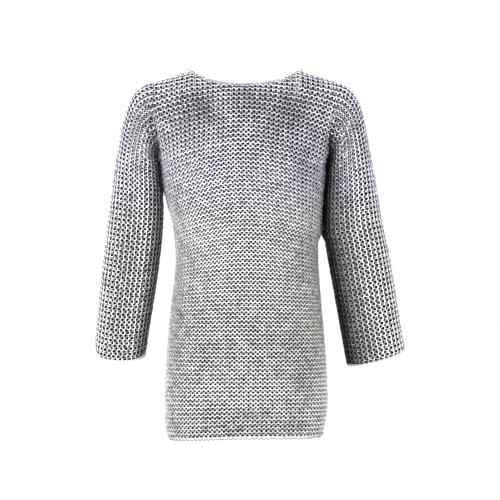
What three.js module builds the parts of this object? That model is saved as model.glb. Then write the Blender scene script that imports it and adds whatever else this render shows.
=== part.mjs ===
// Mail hauberk: a pull-on shirt of linked steel rings, filled out as it is worn.
// It is four pieces of mail, front, back and two sleeves, each a thin curved wall with open edges.
// Millimetres, +Z up. The front faces -Y and +X is the wearer's left.
// The origin lies midway between the two high points of the neckline, where the shoulders carry it.

import * as THREE from 'three';

// Mail and seams
const wall = 3.5;
const seamGap = 0.3;

// Heights of the hem and of the neckline's edges
const hemZ = -800;
const neckPeak = { x: 118, z: 3 };
const neckDrop = { front: 39, back: 14, power: 2.6 };

// The shoulder line falls from the neck's high points to the tops of the armholes.
const shoulderTop = { x: 200, z: -24, power: 0.9 };
const hiddenRise = 3;

// How far below the shoulder line each side of the chest reaches its full depth
const chestCurve = {
  front: { reach: 190, power: 2.0 },
  back: { reach: 115, power: 2.4 },
};

// Each armhole runs in a steep plane from the armpit to the top of the shoulder.
const armholes = {
  right: { pitX: -186, pitZ: -205, topX: -shoulderTop.x, topZ: shoulderTop.z },
  left: { pitX: 178, pitZ: -205, topX: shoulderTop.x, topZ: shoulderTop.z },
};

// The torso's sides and its depth in front and behind, at each height
const torsoSquareness = 2.4;
const torso = [
  { z: 0, right: -202, left: 203, front: 127, back: 118 },
  { z: -110, right: -193, left: 190, front: 127, back: 119 },
  { z: -205, right: -186, left: 178, front: 126, back: 118 },
  { z: -255, right: -181, left: 174, front: 124, back: 116 },
  { z: -295, right: -176, left: 171, front: 121, back: 112 },
  { z: -323, right: -163, left: 169, front: 119, back: 109 },
  { z: -345, right: -157, left: 167, front: 117, back: 106 },
  { z: -372, right: -154, left: 161, front: 115, back: 103 },
  { z: -416, right: -152, left: 161, front: 112, back: 100 },
  { z: -464, right: -156, left: 164, front: 111, back: 101 },
  { z: -524, right: -163, left: 169, front: 112, back: 104 },
  { z: -583, right: -168, left: 174, front: 115, back: 109 },
  { z: -671, right: -175, left: 180, front: 119, back: 115 },
  { z: -735, right: -176, left: 181, front: 121, back: 118 },
  { z: -780, right: -173, left: 174, front: 121, back: 119 },
  { z: -800, right: -169, left: 170, front: 120, back: 118 },
];

// Sleeve sections from armhole to cuff, fanned round the armpit and then in line with the arm. Each runs
// from an inner to an outer point, with a half depth near the armpit (low) and near the shoulder (high).
// Droop is how far the front hangs below the middle.
const sleeveSections = {
  right: [
    { innerX: -186, innerZ: -205, outerX: -200, outerZ: -24, low: 28, high: 66, square: 3.0, droop: 0 },
    { innerX: -187, innerZ: -205, outerX: -221, outerZ: -31, low: 32, high: 68, square: 2.9, droop: 0 },
    { innerX: -188, innerZ: -206, outerX: -240, outerZ: -46, low: 37, high: 68, square: 2.8, droop: 0 },
    { innerX: -188, innerZ: -207, outerX: -254, outerZ: -70, low: 43, high: 68, square: 2.6, droop: 0 },
    { innerX: -188, innerZ: -209, outerX: -265, outerZ: -103, low: 49, high: 66, square: 2.5, droop: 0 },
    { innerX: -187, innerZ: -214, outerX: -275, outerZ: -145, low: 54, high: 65, square: 2.4, droop: 1 },
    { innerX: -186, innerZ: -226, outerX: -284, outerZ: -192, low: 58, high: 63, square: 2.2, droop: 2 },
    { innerX: -184, innerZ: -252, outerX: -290, outerZ: -235, low: 60, high: 62, square: 2.1, droop: 3 },
    { innerX: -180, innerZ: -292, outerX: -296, outerZ: -280, low: 60, high: 60, square: 2.1, droop: 5 },
    { innerX: -181, innerZ: -345, outerX: -303, outerZ: -336, low: 59, high: 59, square: 2.1, droop: 6 },
    { innerX: -187, innerZ: -406, outerX: -310, outerZ: -398, low: 58, high: 58, square: 2.1, droop: 8 },
    { innerX: -196, innerZ: -474, outerX: -318, outerZ: -466, low: 57, high: 57, square: 2.1, droop: 10 },
    { innerX: -208, innerZ: -548, outerX: -326, outerZ: -543, low: 56, high: 56, square: 2.1, droop: 13 },
    { innerX: -219, innerZ: -621, outerX: -331, outerZ: -615, low: 56, high: 56, square: 2.2, droop: 15 },
  ],
  left: [
    { innerX: 178, innerZ: -205, outerX: 200, outerZ: -24, low: 28, high: 66, square: 3.0, droop: 0 },
    { innerX: 179, innerZ: -205, outerX: 221, outerZ: -33, low: 32, high: 68, square: 2.9, droop: 0 },
    { innerX: 180, innerZ: -206, outerX: 241, outerZ: -53, low: 37, high: 69, square: 2.8, droop: 0 },
    { innerX: 180, innerZ: -207, outerX: 254, outerZ: -80, low: 43, high: 69, square: 2.6, droop: 0 },
    { innerX: 180, innerZ: -210, outerX: 263, outerZ: -114, low: 50, high: 68, square: 2.5, droop: 0 },
    { innerX: 180, innerZ: -217, outerX: 270, outerZ: -150, low: 56, high: 67, square: 2.4, droop: 0 },
    { innerX: 179, innerZ: -231, outerX: 277, outerZ: -188, low: 61, high: 66, square: 2.2, droop: 1 },
    { innerX: 177, innerZ: -258, outerX: 285, outerZ: -228, low: 64, high: 66, square: 2.1, droop: 1 },
    { innerX: 174, innerZ: -298, outerX: 292, outerZ: -270, low: 65, high: 65, square: 2.1, droop: 2 },
    { innerX: 173, innerZ: -347, outerX: 300, outerZ: -318, low: 65, high: 65, square: 2.1, droop: 2 },
    { innerX: 181, innerZ: -403, outerX: 312, outerZ: -374, low: 64, high: 64, square: 2.1, droop: 3 },
    { innerX: 194, innerZ: -475, outerX: 325, outerZ: -444, low: 63, high: 63, square: 2.1, droop: 4 },
    { innerX: 209, innerZ: -559, outerX: 338, outerZ: -527, low: 63, high: 63, square: 2.1, droop: 5 },
    { innerX: 224, innerZ: -643, outerX: 352, outerZ: -610, low: 63, high: 63, square: 2.2, droop: 6 },
  ],
};

// The depth of an armhole or sleeve section grows from low to high between these shares of its height.
const widening = { from: 0.12, to: 0.6 };

// Between these shares of an armhole's height the body's sides change from rounded off to drawn across
// to the sleeve, and the armhole's own depth reaches further into the panel.
const sideFade = { from: 0, to: 0.85, power: 2.2 };
const edgeReach = 6;

// The largest soft hollows that the weight of the mail pulls into the body. A positive lean turns a
// hollow's upper end towards the wearer's left.
const hollows = [
  { face: 'front', x: -96, z: -96, halfWidth: 34, halfHeight: 52, lean: -0.35, depth: 8 },
  { face: 'front', x: 92, z: -100, halfWidth: 36, halfHeight: 56, lean: 0.3, depth: 9 },
  { face: 'front', x: -128, z: -214, halfWidth: 20, halfHeight: 60, lean: -0.5, depth: 4 },
  { face: 'front', x: 124, z: -236, halfWidth: 22, halfHeight: 66, lean: 0.45, depth: 5 },
  { face: 'back', x: -104, z: -132, halfWidth: 26, halfHeight: 70, lean: -0.45, depth: 6 },
  { face: 'back', x: 98, z: -140, halfWidth: 28, halfHeight: 64, lean: 0.5, depth: 6 },
  { face: 'back', x: 6, z: -420, halfWidth: 90, halfHeight: 60, lean: 0, depth: 7 },
];

// Steps across a panel, up it below and above the armpits, and along a sleeve
const acrossSteps = 28;
const lowerSteps = 20;
const upperSteps = 12;
const sleeveSteps = 22;

const steel = { color: 0xa3a5a9, metalness: 0.9, roughness: 0.42 };

const mix = (a, b, t) => a + (b - a) * t;
const clamp01 = (t) => Math.min(Math.max(t, 0), 1);
const roundStep = (t) => (1 - Math.cos(Math.PI * t)) / 2;

function ease(from, to, value) {
  const t = clamp01((value - from) / (to - from));
  return t * t * (3 - 2 * t);
}

// A smooth curve through evenly numbered rows of a table
function alongRows(rows, key, at) {
  const last = rows.length - 1;
  const i = Math.min(Math.floor(at), last - 1);
  const t = at - i;
  const value = (n) => rows[Math.min(Math.max(n, 0), last)][key];
  const slopeIn = (value(i + 1) - value(i - 1)) / 2;
  const slopeOut = (value(i + 2) - value(i)) / 2;
  const t2 = t * t;
  const t3 = t2 * t;
  return value(i) * (2 * t3 - 3 * t2 + 1) + slopeIn * (t3 - 2 * t2 + t)
    + value(i + 1) * (3 * t2 - 2 * t3) + slopeOut * (t3 - t2);
}

// The torso's value at a height, with each stretch between rows eased into the next
function torsoAt(key, z) {
  const last = torso.length - 1;
  let i = 0;
  while (i < last - 1 && z < torso[i + 1].z) i += 1;
  const slope = (n) => {
    const a = torso[Math.max(n - 1, 0)];
    const b = torso[Math.min(n + 1, last)];
    return (b[key] - a[key]) / (b.z - a.z);
  };
  const a = torso[i];
  const b = torso[i + 1];
  const run = b.z - a.z;
  const t = clamp01((z - a.z) / run);
  const t2 = t * t;
  const t3 = t2 * t;
  return a[key] * (2 * t3 - 3 * t2 + 1) + slope(i) * run * (t3 - 2 * t2 + t)
    + b[key] * (3 * t2 - 2 * t3) + slope(i + 1) * run * (t3 - t2);
}

// A rounded rim that is 0 at both ends of a section and 1 between them
const rim = (s, square) => Math.pow(Math.max(1 - Math.pow(Math.abs(2 * s - 1), square), 0), 1 / square);

// Half depth of a sleeve section at a share of its height, from the inner point up
function sectionDepth(section, s) {
  const depth = mix(section.low, section.high, ease(widening.from, widening.to, s));
  return depth * rim(s, section.square);
}

// Height of the shoulder line, carried on as a low rise across the neck's opening
function shoulderZ(x) {
  const beyond = (Math.abs(x) - neckPeak.x) / (shoulderTop.x - neckPeak.x);
  if (beyond > 0) return mix(neckPeak.z, shoulderTop.z, Math.pow(beyond, shoulderTop.power));
  return neckPeak.z + hiddenRise * (1 - Math.pow(x / neckPeak.x, 2));
}

// The upper edge of a panel: the shoulder seam, then the neckline between its high points
function topEdgeZ(x, face) {
  const share = Math.abs(x) / neckPeak.x;
  if (share >= 1) return shoulderZ(x);
  return neckPeak.z - neckDrop[face] * (1 - Math.pow(share, neckDrop.power));
}

// How far the chest or back stands out from the shoulder line, before its sides are rounded
function chestDepth(x, z, face) {
  const { reach, power } = chestCurve[face];
  const below = clamp01((shoulderZ(x) - z) / reach);
  return torsoAt(face, z) * Math.pow(Math.max(1 - Math.pow(1 - below, power), 0), 1 / power);
}

// How far the soft hollows draw a face in at one place
function hollowAt(face, x, z) {
  let drawn = 0;
  for (const hollow of hollows) {
    if (hollow.face !== face) continue;
    const up = z - hollow.z;
    const side = (x - hollow.x - hollow.lean * up) / hollow.halfWidth;
    drawn += hollow.depth * Math.exp(-side * side - (up / hollow.halfHeight) ** 2);
  }
  return drawn;
}

// A point of the body's outer face. Across runs from the wearer's right side seam at -1 to the left one
// at 1, and up runs from 0 at the hem through 1 at the armpits to 2 at the shoulder and neck edges.
function bodyPoint(face, across, up) {
  const sign = face === 'front' ? -1 : 1;
  const angle = (1 + across) * Math.PI / 2;
  const bend = 2 / torsoSquareness;
  const sideways = -Math.sign(Math.cos(angle)) * Math.pow(Math.abs(Math.cos(angle)), bend);
  const outward = Math.pow(Math.max(Math.sin(angle), 0), bend);
  const between = (right, left) => (right + left) / 2 + sideways * (left - right) / 2;
  const pitZ = mix(armholes.right.pitZ, armholes.left.pitZ, (across + 1) / 2);
  if (up <= 1) {
    const z = mix(hemZ, pitZ, up);
    const x = between(torsoAt('right', z), torsoAt('left', z));
    return new THREE.Vector3(x, sign * (torsoAt(face, z) - hollowAt(face, x, z)) * outward, z);
  }
  const s = up - 1;
  const holeX = between(
    mix(armholes.right.pitX, armholes.right.topX, s),
    mix(armholes.left.pitX, armholes.left.topX, s),
  );
  const z = mix(pitZ, topEdgeZ(holeX, face), s);
  const atHole = Math.abs(across) === 1 ? 1 : ease(0, sideFade.to, s);
  const x = mix(between(torsoAt('right', z), torsoAt('left', z)), holeX, atHole);
  const edgeDepth = sectionDepth(sleeveSections.right[0], s);
  const soft = 1 - Math.pow(Math.abs(sideways), sideFade.power);
  const fading = ease(sideFade.from, sideFade.to, s);
  const fullness = mix(outward, soft, fading);
  const nearEdge = Math.pow(Math.abs(sideways), mix(edgeReach, 0, fading));
  const depth = (chestDepth(x, z, face) - hollowAt(face, x, z) * outward) * fullness
    + edgeDepth * (1 - fullness) * nearEdge;
  return new THREE.Vector3(x, sign * depth, z);
}

// A point of a sleeve's outer face. Along runs from 0 at the armhole to 1 at the cuff, and round runs
// from 0 at the armpit side over the front to 1 at the shoulder side and on over the back to 2.
function sleevePoint(side, along, round) {
  const rows = sleeveSections[side];
  const at = along * (rows.length - 1);
  const section = {};
  for (const key of Object.keys(rows[0])) section[key] = alongRows(rows, key, at);
  const toFront = round <= 1;
  const s = roundStep(round);
  const depth = sectionDepth(section, s);
  const x = mix(section.innerX, section.outerX, s);
  const z = mix(section.innerZ, section.outerZ, s);
  const drop = section.droop * depth / section.high;
  return new THREE.Vector3(x, toFront ? -depth : depth, toFront ? z - drop : z + drop);
}

// Outward direction of a net of points at one place, from its neighbours
function outwardAt(net, i, j, closed) {
  const rows = net.length;
  const cols = net[0].length;
  const pick = (r, c) => {
    const row = net[Math.min(Math.max(r, 0), rows - 1)];
    return closed ? row[(c + cols) % cols] : row[Math.min(Math.max(c, 0), cols - 1)];
  };
  const upward = pick(i + 1, j).clone().sub(pick(i - 1, j));
  const sideways = pick(i, j + 1).clone().sub(pick(i, j - 1));
  return sideways.cross(upward).normalize();
}

// A closed wall between an outer and an inner net of points
function wallBetween(outer, inner, closed) {
  const rows = outer.length;
  const cols = outer[0].length;
  const positions = [];
  for (const net of [outer, inner]) {
    for (const row of net) for (const p of row) positions.push(p.x, p.y, p.z);
  }
  const triangles = [];
  const id = (layer, r, c) => layer * rows * cols + r * cols + (c % cols);
  const quad = (a, b, c, d) => triangles.push(a, b, c, a, c, d);
  const spans = closed ? cols : cols - 1;
  for (let r = 0; r < rows - 1; r += 1) {
    for (let c = 0; c < spans; c += 1) {
      quad(id(0, r, c), id(0, r, c + 1), id(0, r + 1, c + 1), id(0, r + 1, c));
      quad(id(1, r, c), id(1, r + 1, c), id(1, r + 1, c + 1), id(1, r, c + 1));
    }
  }
  for (let c = 0; c < spans; c += 1) {
    quad(id(0, 0, c), id(1, 0, c), id(1, 0, c + 1), id(0, 0, c + 1));
    quad(id(0, rows - 1, c), id(0, rows - 1, c + 1), id(1, rows - 1, c + 1), id(1, rows - 1, c));
  }
  if (!closed) {
    for (let r = 0; r < rows - 1; r += 1) {
      quad(id(0, r, 0), id(0, r + 1, 0), id(1, r + 1, 0), id(1, r, 0));
      quad(id(0, r, cols - 1), id(1, r, cols - 1), id(1, r + 1, cols - 1), id(0, r + 1, cols - 1));
    }
  }
  const geometry = new THREE.BufferGeometry();
  geometry.setAttribute('position', new THREE.Float32BufferAttribute(positions, 3));
  geometry.setIndex(triangles);
  geometry.computeVertexNormals();
  return geometry;
}

// Unit direction across an armhole's plane, away from the neck
function armholeOutward(side) {
  const hole = armholes[side];
  const slope = new THREE.Vector3(hole.topX - hole.pitX, 0, hole.topZ - hole.pitZ).normalize();
  const direction = new THREE.Vector3(slope.z, 0, -slope.x);
  return side === 'right' ? direction.negate() : direction;
}

// The direction into the armhole's opening at one point of its edge, within its plane
function intoArmhole(side, round) {
  const step = 1e-3;
  const before = sleevePoint(side, 0, round <= 0 ? 2 - step : round - step);
  const after = sleevePoint(side, 0, round >= 2 ? step : round + step);
  const tangent = after.sub(before);
  const inward = tangent.cross(armholeOutward(side)).normalize();
  return side === 'right' ? inward.negate() : inward;
}

const upwardSteps = [];
for (let i = 0; i < lowerSteps; i += 1) upwardSteps.push(i / lowerSteps);
for (let i = 0; i <= upperSteps; i += 1) upwardSteps.push(1 + roundStep(i / upperSteps));

// The front or back panel: a wall whose seams lie in the planes of the armholes and along y = 0
function panel(face) {
  const sign = face === 'front' ? -1 : 1;
  const outer = upwardSteps.map((up) => {
    const row = [];
    for (let c = 0; c <= acrossSteps; c += 1) row.push(bodyPoint(face, -1 + 2 * c / acrossSteps, up));
    return sign < 0 ? row : row.reverse();
  });
  const inner = outer.map((row, r) => row.map((point, c) => {
    const edge = c === 0 || c === acrossSteps;
    const atHole = edge && r >= lowerSteps;
    if (!atHole) {
      const direction = outwardAt(outer, r, c, false);
      const onSeam = edge || (r === outer.length - 1 && Math.abs(point.x) > neckPeak.x);
      if (onSeam) direction.setY(0).normalize();
      return point.clone().addScaledVector(direction, -wall);
    }
    const side = point.x < 0 ? 'right' : 'left';
    const turn = (r - lowerSteps) / upperSteps;
    return point.clone().addScaledVector(intoArmhole(side, sign < 0 ? turn : 2 - turn), wall);
  }));
  for (const net of [outer, inner]) {
    net.forEach((row, r) => row.forEach((point, c) => {
      point.y = sign * Math.max(sign * point.y, seamGap / 2);
      const edge = c === 0 || c === acrossSteps;
      if (!edge || r < lowerSteps) return;
      point.addScaledVector(armholeOutward(point.x < 0 ? 'right' : 'left'), -seamGap / 2);
    }));
  }
  return wallBetween(outer, inner, false);
}

// A sleeve: a tube from the armhole round the shoulder and down to the cuff
function sleeve(side) {
  const outer = [];
  for (let r = 0; r <= sleeveSteps; r += 1) {
    const row = [];
    for (let c = 0; c < 2 * upperSteps; c += 1) row.push(sleevePoint(side, r / sleeveSteps, c / upperSteps));
    outer.push(side === 'right' ? row : row.reverse());
  }
  const inner = outer.map((row, r) => row.map((point, c) => {
    if (r > 0) return point.clone().addScaledVector(outwardAt(outer, r, c, true), -wall);
    const turn = (side === 'right' ? c : 2 * upperSteps - 1 - c) / upperSteps;
    return point.clone().addScaledVector(intoArmhole(side, turn), wall);
  }));
  for (const net of [outer, inner]) {
    for (const point of net[0]) point.addScaledVector(armholeOutward(side), seamGap / 2);
  }
  return wallBetween(outer, inner, true);
}

function piece(name, geometry) {
  const mesh = new THREE.Mesh(geometry, new THREE.MeshStandardMaterial(steel));
  mesh.name = name;
  return mesh;
}

const hauberk = new THREE.Group();
hauberk.add(piece('body_front', panel('front')));
hauberk.add(piece('body_back', panel('back')));
hauberk.add(piece('sleeve_right', sleeve('right')));
hauberk.add(piece('sleeve_left', sleeve('left')));

export default hauberk;
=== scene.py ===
# Mail hauberk: a pull-on shirt of linked steel rings, filled out as it is worn.
# Each ring is real. The rows of the weave are laid out on the shirt's surface, and Geometry Nodes set a
# ring at each place, leaning as its row does. Alternate rows lean opposite ways.
# The scene is in metres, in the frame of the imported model, and the shirt's own sizes are in millimetres.
# The front faces -Y and +X is the wearer's left.

import math

import bpy
import numpy as np
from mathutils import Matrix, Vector


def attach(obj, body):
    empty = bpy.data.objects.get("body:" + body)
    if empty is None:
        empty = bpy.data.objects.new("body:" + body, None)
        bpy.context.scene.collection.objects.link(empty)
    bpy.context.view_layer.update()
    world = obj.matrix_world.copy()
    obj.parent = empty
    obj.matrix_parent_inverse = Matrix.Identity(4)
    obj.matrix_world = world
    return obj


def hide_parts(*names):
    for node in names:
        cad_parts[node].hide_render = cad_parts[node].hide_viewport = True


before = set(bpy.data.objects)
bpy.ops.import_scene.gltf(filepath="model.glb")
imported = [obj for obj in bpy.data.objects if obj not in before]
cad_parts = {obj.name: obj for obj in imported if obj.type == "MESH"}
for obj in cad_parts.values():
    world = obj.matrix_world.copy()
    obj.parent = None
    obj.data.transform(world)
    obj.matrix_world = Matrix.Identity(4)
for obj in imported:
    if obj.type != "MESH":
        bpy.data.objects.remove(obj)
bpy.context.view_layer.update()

MM = 0.001

# Camera at the photograph's angle: level, straight in front, a little below half the shirt's height
CAMERA_PLACE = (0.011, -3.3, -0.392)
FIELD_WIDTH = 1.1
SENSOR_WIDTH = 36.0

# The floor lies where the wearer's feet would stand
FLOOR_Z = -1.42
FLOOR_HALF = 20.0
FLOOR_COLOUR = (0.95, 0.95, 0.95, 1)
FLOOR_ROUGHNESS = 0.9

# Light: the white world, and each lamp's name, place, aim, width and height, and power
WORLD_COLOUR = (1, 1, 1, 1)
WORLD_STRENGTH = 1.06
LAMPS = (
    ("key", (-1.1, -2.8, 0.3), (0, 0, -0.45), (1.2, 1.2), 158),
    ("fill", (1.8, -2.2, 0.3), (0, 0, -0.4), (1.2, 1.2), 20),
)


def add_object(name, data):
    """A new object in the scene."""
    made = bpy.data.objects.new(name, data)
    bpy.context.scene.collection.objects.link(made)
    return made


def make_camera():
    data = bpy.data.cameras.new("camera")
    data.sensor_width = SENSOR_WIDTH
    data.lens = SENSOR_WIDTH * -CAMERA_PLACE[1] / FIELD_WIDTH
    camera = add_object("camera", data)
    camera.location = CAMERA_PLACE
    camera.rotation_euler = (math.pi / 2, 0, 0)
    bpy.context.scene.camera = camera


make_camera()

# The shirt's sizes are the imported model's, but for small shifts of neckline, right flank and hem
WALL = 3.5
HEM_Z = -800.0
PIT_Z = -205.0

# Neckline and shoulder line. The shoulder line goes on unseen across the neck opening, a little higher.
NECK_PEAK_X = 118.0
NECK_PEAK_Z = 3.0
NECK_DROP = {"front": 35.5, "back": 18.0}
NECK_POWER = 2.6
SHOULDER_X = 200.0
SHOULDER_Z = -24.0
SHOULDER_POWER = 0.9
HIDDEN_RISE = 3.0

# How far below the shoulder line the chest and back reach their full depth, and how roundly
CHEST_REACH = {"front": 190.0, "back": 115.0}
CHEST_POWER = {"front": 2.0, "back": 2.4}

# The armpits, how square the body's section is there, and how it turns into the armhole's form above
PIT_X = {"right": -186.0, "left": 178.0}
PIT_MIDDLE = (PIT_X["right"] + PIT_X["left"]) / 2
PIT_HALF = (PIT_X["left"] - PIT_X["right"]) / 2
SQUARENESS = 2.4
EDGE_REACH = 6.0
SIDE_FADE_TO = 0.85
SIDE_POWER = 2.2

# Shares of a section's height between which its half depth goes from low to high
WIDEN_FROM = 0.12
WIDEN_TO = 0.6

# The torso's sides and its depth in front and behind, at each height
TORSO_COLUMNS = ("z", "right", "left", "front", "back")
TORSO = np.array(
    [
        (0, -202, 203, 127, 118),
        (-110, -193, 190, 127, 119),
        (-205, -186, 178, 126, 118),
        (-255, -178, 174, 124, 116),
        (-295, -170, 171, 121, 112),
        (-323, -161, 169, 119, 109),
        (-345, -157, 167, 117, 106),
        (-372, -154, 161, 115, 103),
        (-416, -152, 161, 112, 100),
        (-464, -156, 164, 111, 101),
        (-524, -163, 169, 112, 104),
        (-583, -168, 174, 115, 109),
        (-671, -175, 180, 119, 115),
        (-735, -176, 181, 121, 118),
        (-780, -173, 174, 121, 119),
        (-800, -169, 170, 120, 118),
    ],
    float,
)

# Sleeve sections from armhole to cuff: inner and outer point, half depth low and high, and droop
SLEEVE_COLUMNS = ("inner_x", "inner_z", "outer_x", "outer_z", "low", "high", "square", "droop")
SLEEVES = {
    "right": np.array(
        [
            (-186, -205, -200, -24, 28, 66, 3.0, 0),
            (-187, -205, -221, -31, 32, 68, 2.9, 0),
            (-188, -206, -240, -46, 37, 68, 2.8, 0),
            (-188, -207, -254, -70, 43, 68, 2.6, 0),
            (-188, -209, -265, -103, 49, 66, 2.5, 0),
            (-187, -214, -275, -145, 54, 65, 2.4, 1),
            (-186, -226, -284, -192, 58, 63, 2.2, 2),
            (-184, -252, -290, -235, 60, 62, 2.1, 3),
            (-180, -292, -296, -280, 60, 60, 2.1, 5),
            (-181, -345, -303, -336, 59, 59, 2.1, 6),
            (-187, -406, -310, -398, 58, 58, 2.1, 8),
            (-196, -474, -318, -466, 57, 57, 2.1, 10),
            (-208, -548, -326, -543, 56, 56, 2.1, 13),
            (-219, -621, -331, -615, 56, 56, 2.2, 15),
        ],
        float,
    ),
    "left": np.array(
        [
            (178, -205, 200, -24, 28, 66, 3.0, 0),
            (179, -205, 221, -33, 32, 68, 2.9, 0),
            (180, -206, 241, -53, 37, 69, 2.8, 0),
            (180, -207, 254, -80, 43, 69, 2.6, 0),
            (180, -210, 263, -114, 50, 68, 2.5, 0),
            (180, -217, 270, -150, 56, 67, 2.4, 0),
            (179, -231, 277, -188, 61, 66, 2.2, 1),
            (177, -258, 285, -228, 64, 66, 2.1, 1),
            (174, -298, 292, -270, 65, 65, 2.1, 2),
            (173, -347, 300, -318, 65, 65, 2.1, 2),
            (181, -403, 312, -374, 64, 64, 2.1, 3),
            (194, -475, 325, -444, 63, 63, 2.1, 4),
            (209, -559, 338, -527, 63, 63, 2.1, 5),
            (224, -643, 352, -610, 63, 63, 2.2, 6),
        ],
        float,
    ),
}

# The hem hangs a little lower at the wearer's right and is drawn up in the middle
HEM_SIDE_LIFT = {"right": -6.0, "left": 0.0}
HEM_MIDDLE_LIFT = {"front": 9.0, "back": 2.0}
HEM_LIFT_FROM = -600.0

# Soft hollows pulled into the body: face, x, z, half width, half height, lean and depth
HOLLOWS = (
    ("front", -96, -96, 34, 52, -0.35, 8),
    ("front", 92, -100, 36, 56, 0.3, 9),
    ("front", -128, -214, 20, 60, -0.5, 4),
    ("front", 124, -236, 22, 66, 0.45, 5),
    ("back", -104, -132, 26, 70, -0.45, 6),
    ("back", 98, -140, 28, 64, 0.5, 6),
    ("back", 6, -420, 90, 60, 0, 7),
)

# Below the armpits sleeve and torso are pressed in where they touch: down to which height, how far
# below that it has faded, how much at most, and how closely it keeps to the side, as powers
TOUCH_LOWEST = {"right": -258.0, "left": -356.0}
TOUCH_FADE = 22
TOUCH_ABOVE_PIT = 2
MOST_PRESSED = 4.5
TORSO_PRESS_POWER = 8
SLEEVE_PRESS_POWER = 6

# A ring, the steps it is drawn with, and its lean and random turns in degrees
RING_RADIUS = 4.1
WIRE_RADIUS = 0.95
RING_STEPS = 7
WIRE_STEPS = 3
LEAN = 27
UNEVENNESS = 9

# Rings are drawn by the pitch of their row, within limits
RING_SHARE_OF_PITCH = 0.44
SMALLEST_RING = 0.8
LARGEST_RING = 1.09

# Rows round the body: the lowest lies so many ring radii above the hem. Rows above the armpits are fewer
# at the sides, and the extra ones are cut off at the shoulder line. Each face is split in two at a row.
ROW_SPACING = 4.7
HEM_ROW_RISE = 0.9
HALF_COUNT = 48
LOWER_ROWS = 126
UPPER_ROWS_MIDDLE = 50
UPPER_ROWS_EDGE = 40
EXTRA_ROWS = 10
ALL_ROWS = LOWER_ROWS + UPPER_ROWS_MIDDLE + EXTRA_ROWS
SPLIT_ROW = 84

# Above the armpits the pitch widens to the neck's, and rows end short of shoulder line and armholes
NECK_PITCH = 11.5
ROWS_TO_NECK = 30
PLACES_ASIDE = 30
TOP_REACH = 0.982
ARMHOLE_MARGIN = 0.12

# How far rows droop at the sides, from which height counted from the armpits' level, and how steeply
DROOP = 42.0
DROOP_FROM = -430.0
DROOP_POWER = 1.8

# Sleeves: rows round the arm, rings along it, the gap below which every second cross-line ends, and
# the limits of that
SLEEVE_PITCH = 11.1
SLEEVE_ROWS = {"right": 68, "left": 72}
SLEEVE_RINGS_ALONG = 60
CROWDED = 6.4
LEAST_GAP = 0.4
MOST_THINNINGS = 5

# The row that follows the neckline, how much painted shade it and the hem's row carry, and how far the
# others keep off
NECK_ROW_PITCH = 10.6
NECK_ROW_REACH = 4.3
NECK_ROW_SHADE = 0.38
HEM_ROW_SHADE = 0.4
NECK_CLEAR = 7.4

# Painted shade in the creases between sleeve and body: upper and lower end, half width, and how dark
CREASE_FADE_BELOW = 30
CREASE_FADE_ABOVE = 26
PAINTED_CREASE_SHADES = (
    (-191, -182, -180, -276, 7.5, 0.94),
    (187, -172, 172, -345, 8.0, 0.84),
)

# Painted shade on the inner side of each sleeve: how dark, and from and to which share of the way round it
# fades
SLEEVE_INNER_SHADE = {"right": 0.85, "left": 0.99}
SLEEVE_INNER_FROM = {"right": 0.04, "left": 0.07}
SLEEVE_INNER_REACH = {"right": 0.24, "left": 0.29}

# Patches of painted shade on the mail: place, half width and height, and how dark. The back's are half as
# dark.
PAINTED_SHADE_PATCHES = (
    (-97, -90, 56, 62, 0.51),
    (90, -96, 52, 76, 0.37),
    (122, -215, 34, 74, 0.25),
    (5, -66, 66, 44, 0.5),
    (-20, -620, 175, 130, 0.14),
    (-118, -610, 60, 170, 0.19),
    (-10, -778, 200, 64, 0.3),
    (-238, -140, 44, 74, 0.24),
    (234, -150, 44, 84, 0.32),
    (275, -450, 55, 250, 0.12),
    (-268, -450, 55, 250, 0.18),
    (130, -400, 34, 160, 0.22),
    (120, -640, 50, 110, 0.24),
)
BACK_SHADE_SHARE = 0.5

# Steps of the nets that the rows are laid out on, and points of the outlines that they are made from
LOWER_STEPS = 238
UPPER_STEPS = 120
SLEEVE_STEPS = 208
NET_COLUMNS = 193
TORSO_ROUND_POINTS = 601
SLEEVE_HALF_STEPS = 180
NECKLINE_POINTS = 401

# Rounds of closing in on a height that depends on itself, and the part of the way taken in each round
EDGE_ROUNDS = 14
EDGE_PART = 0.6
TOP_ROUNDS = 20

# Step for measuring slopes, the least length to divide by, and how far short of its end a net is sampled
SLOPE_STEP = 0.5
TINY = 1e-9
NET_SHORT = 1.0001

# The near-black sheets behind the rings, painted shade for the hollow inside the mail. They end short of
# the hem and the neckline in millimetres, and of the cuffs in steps of the sleeve's net.
SHADE_SHEET_DEPTH = 4.8
SHADE_SHEET_THICKNESS = 0.3
SHADE_SHEET_HEM = 6.0
SHADE_SHEET_NECK = 4.0
SHADE_SHEET_CUFF = 0.6
SHADE_SHEET_COLUMNS = 41
SHADE_SHEET_LOWER_ROWS = 30
SHADE_SHEET_UPPER_ROWS = 21
SHADE_SHEET_SLEEVE_COLUMNS = 32
SHADE_SHEET_SLEEVE_ROWS = 45

# Mail laid flat and closed: each ring's share along a row and from row to row, and how much longer the
# pieces are than their area over their width, as their edges are cut away
FLAT_PITCH = 9.9
FLAT_ROW_SPACING = 4.7
BODY_CUT_AWAY = 1.12
SHADE_SHEET_CUT_AWAY = 1.1

# Steel: its colours, among them a painted cool reflection, painted shade where the wire lies deep and the
# near-black that all painted shade mixes towards, and the sizes of its patches and drawn scratches
BRIGHT_STEEL = (0.915, 0.895, 0.88, 1)
# Cool tint that broad random patches and a painted cool reflection, a little darker, towards the top mix in
COOL_TINT_AND_REFLECTION = (0.79, 0.775, 0.95, 1)
TARNISHED_STEEL = (0.58, 0.57, 0.56, 1)
# Painted shade where the wire lies deep among other rings
SHADE_ON_DEEP_WIRE = (0.07, 0.07, 0.075, 1)
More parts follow.
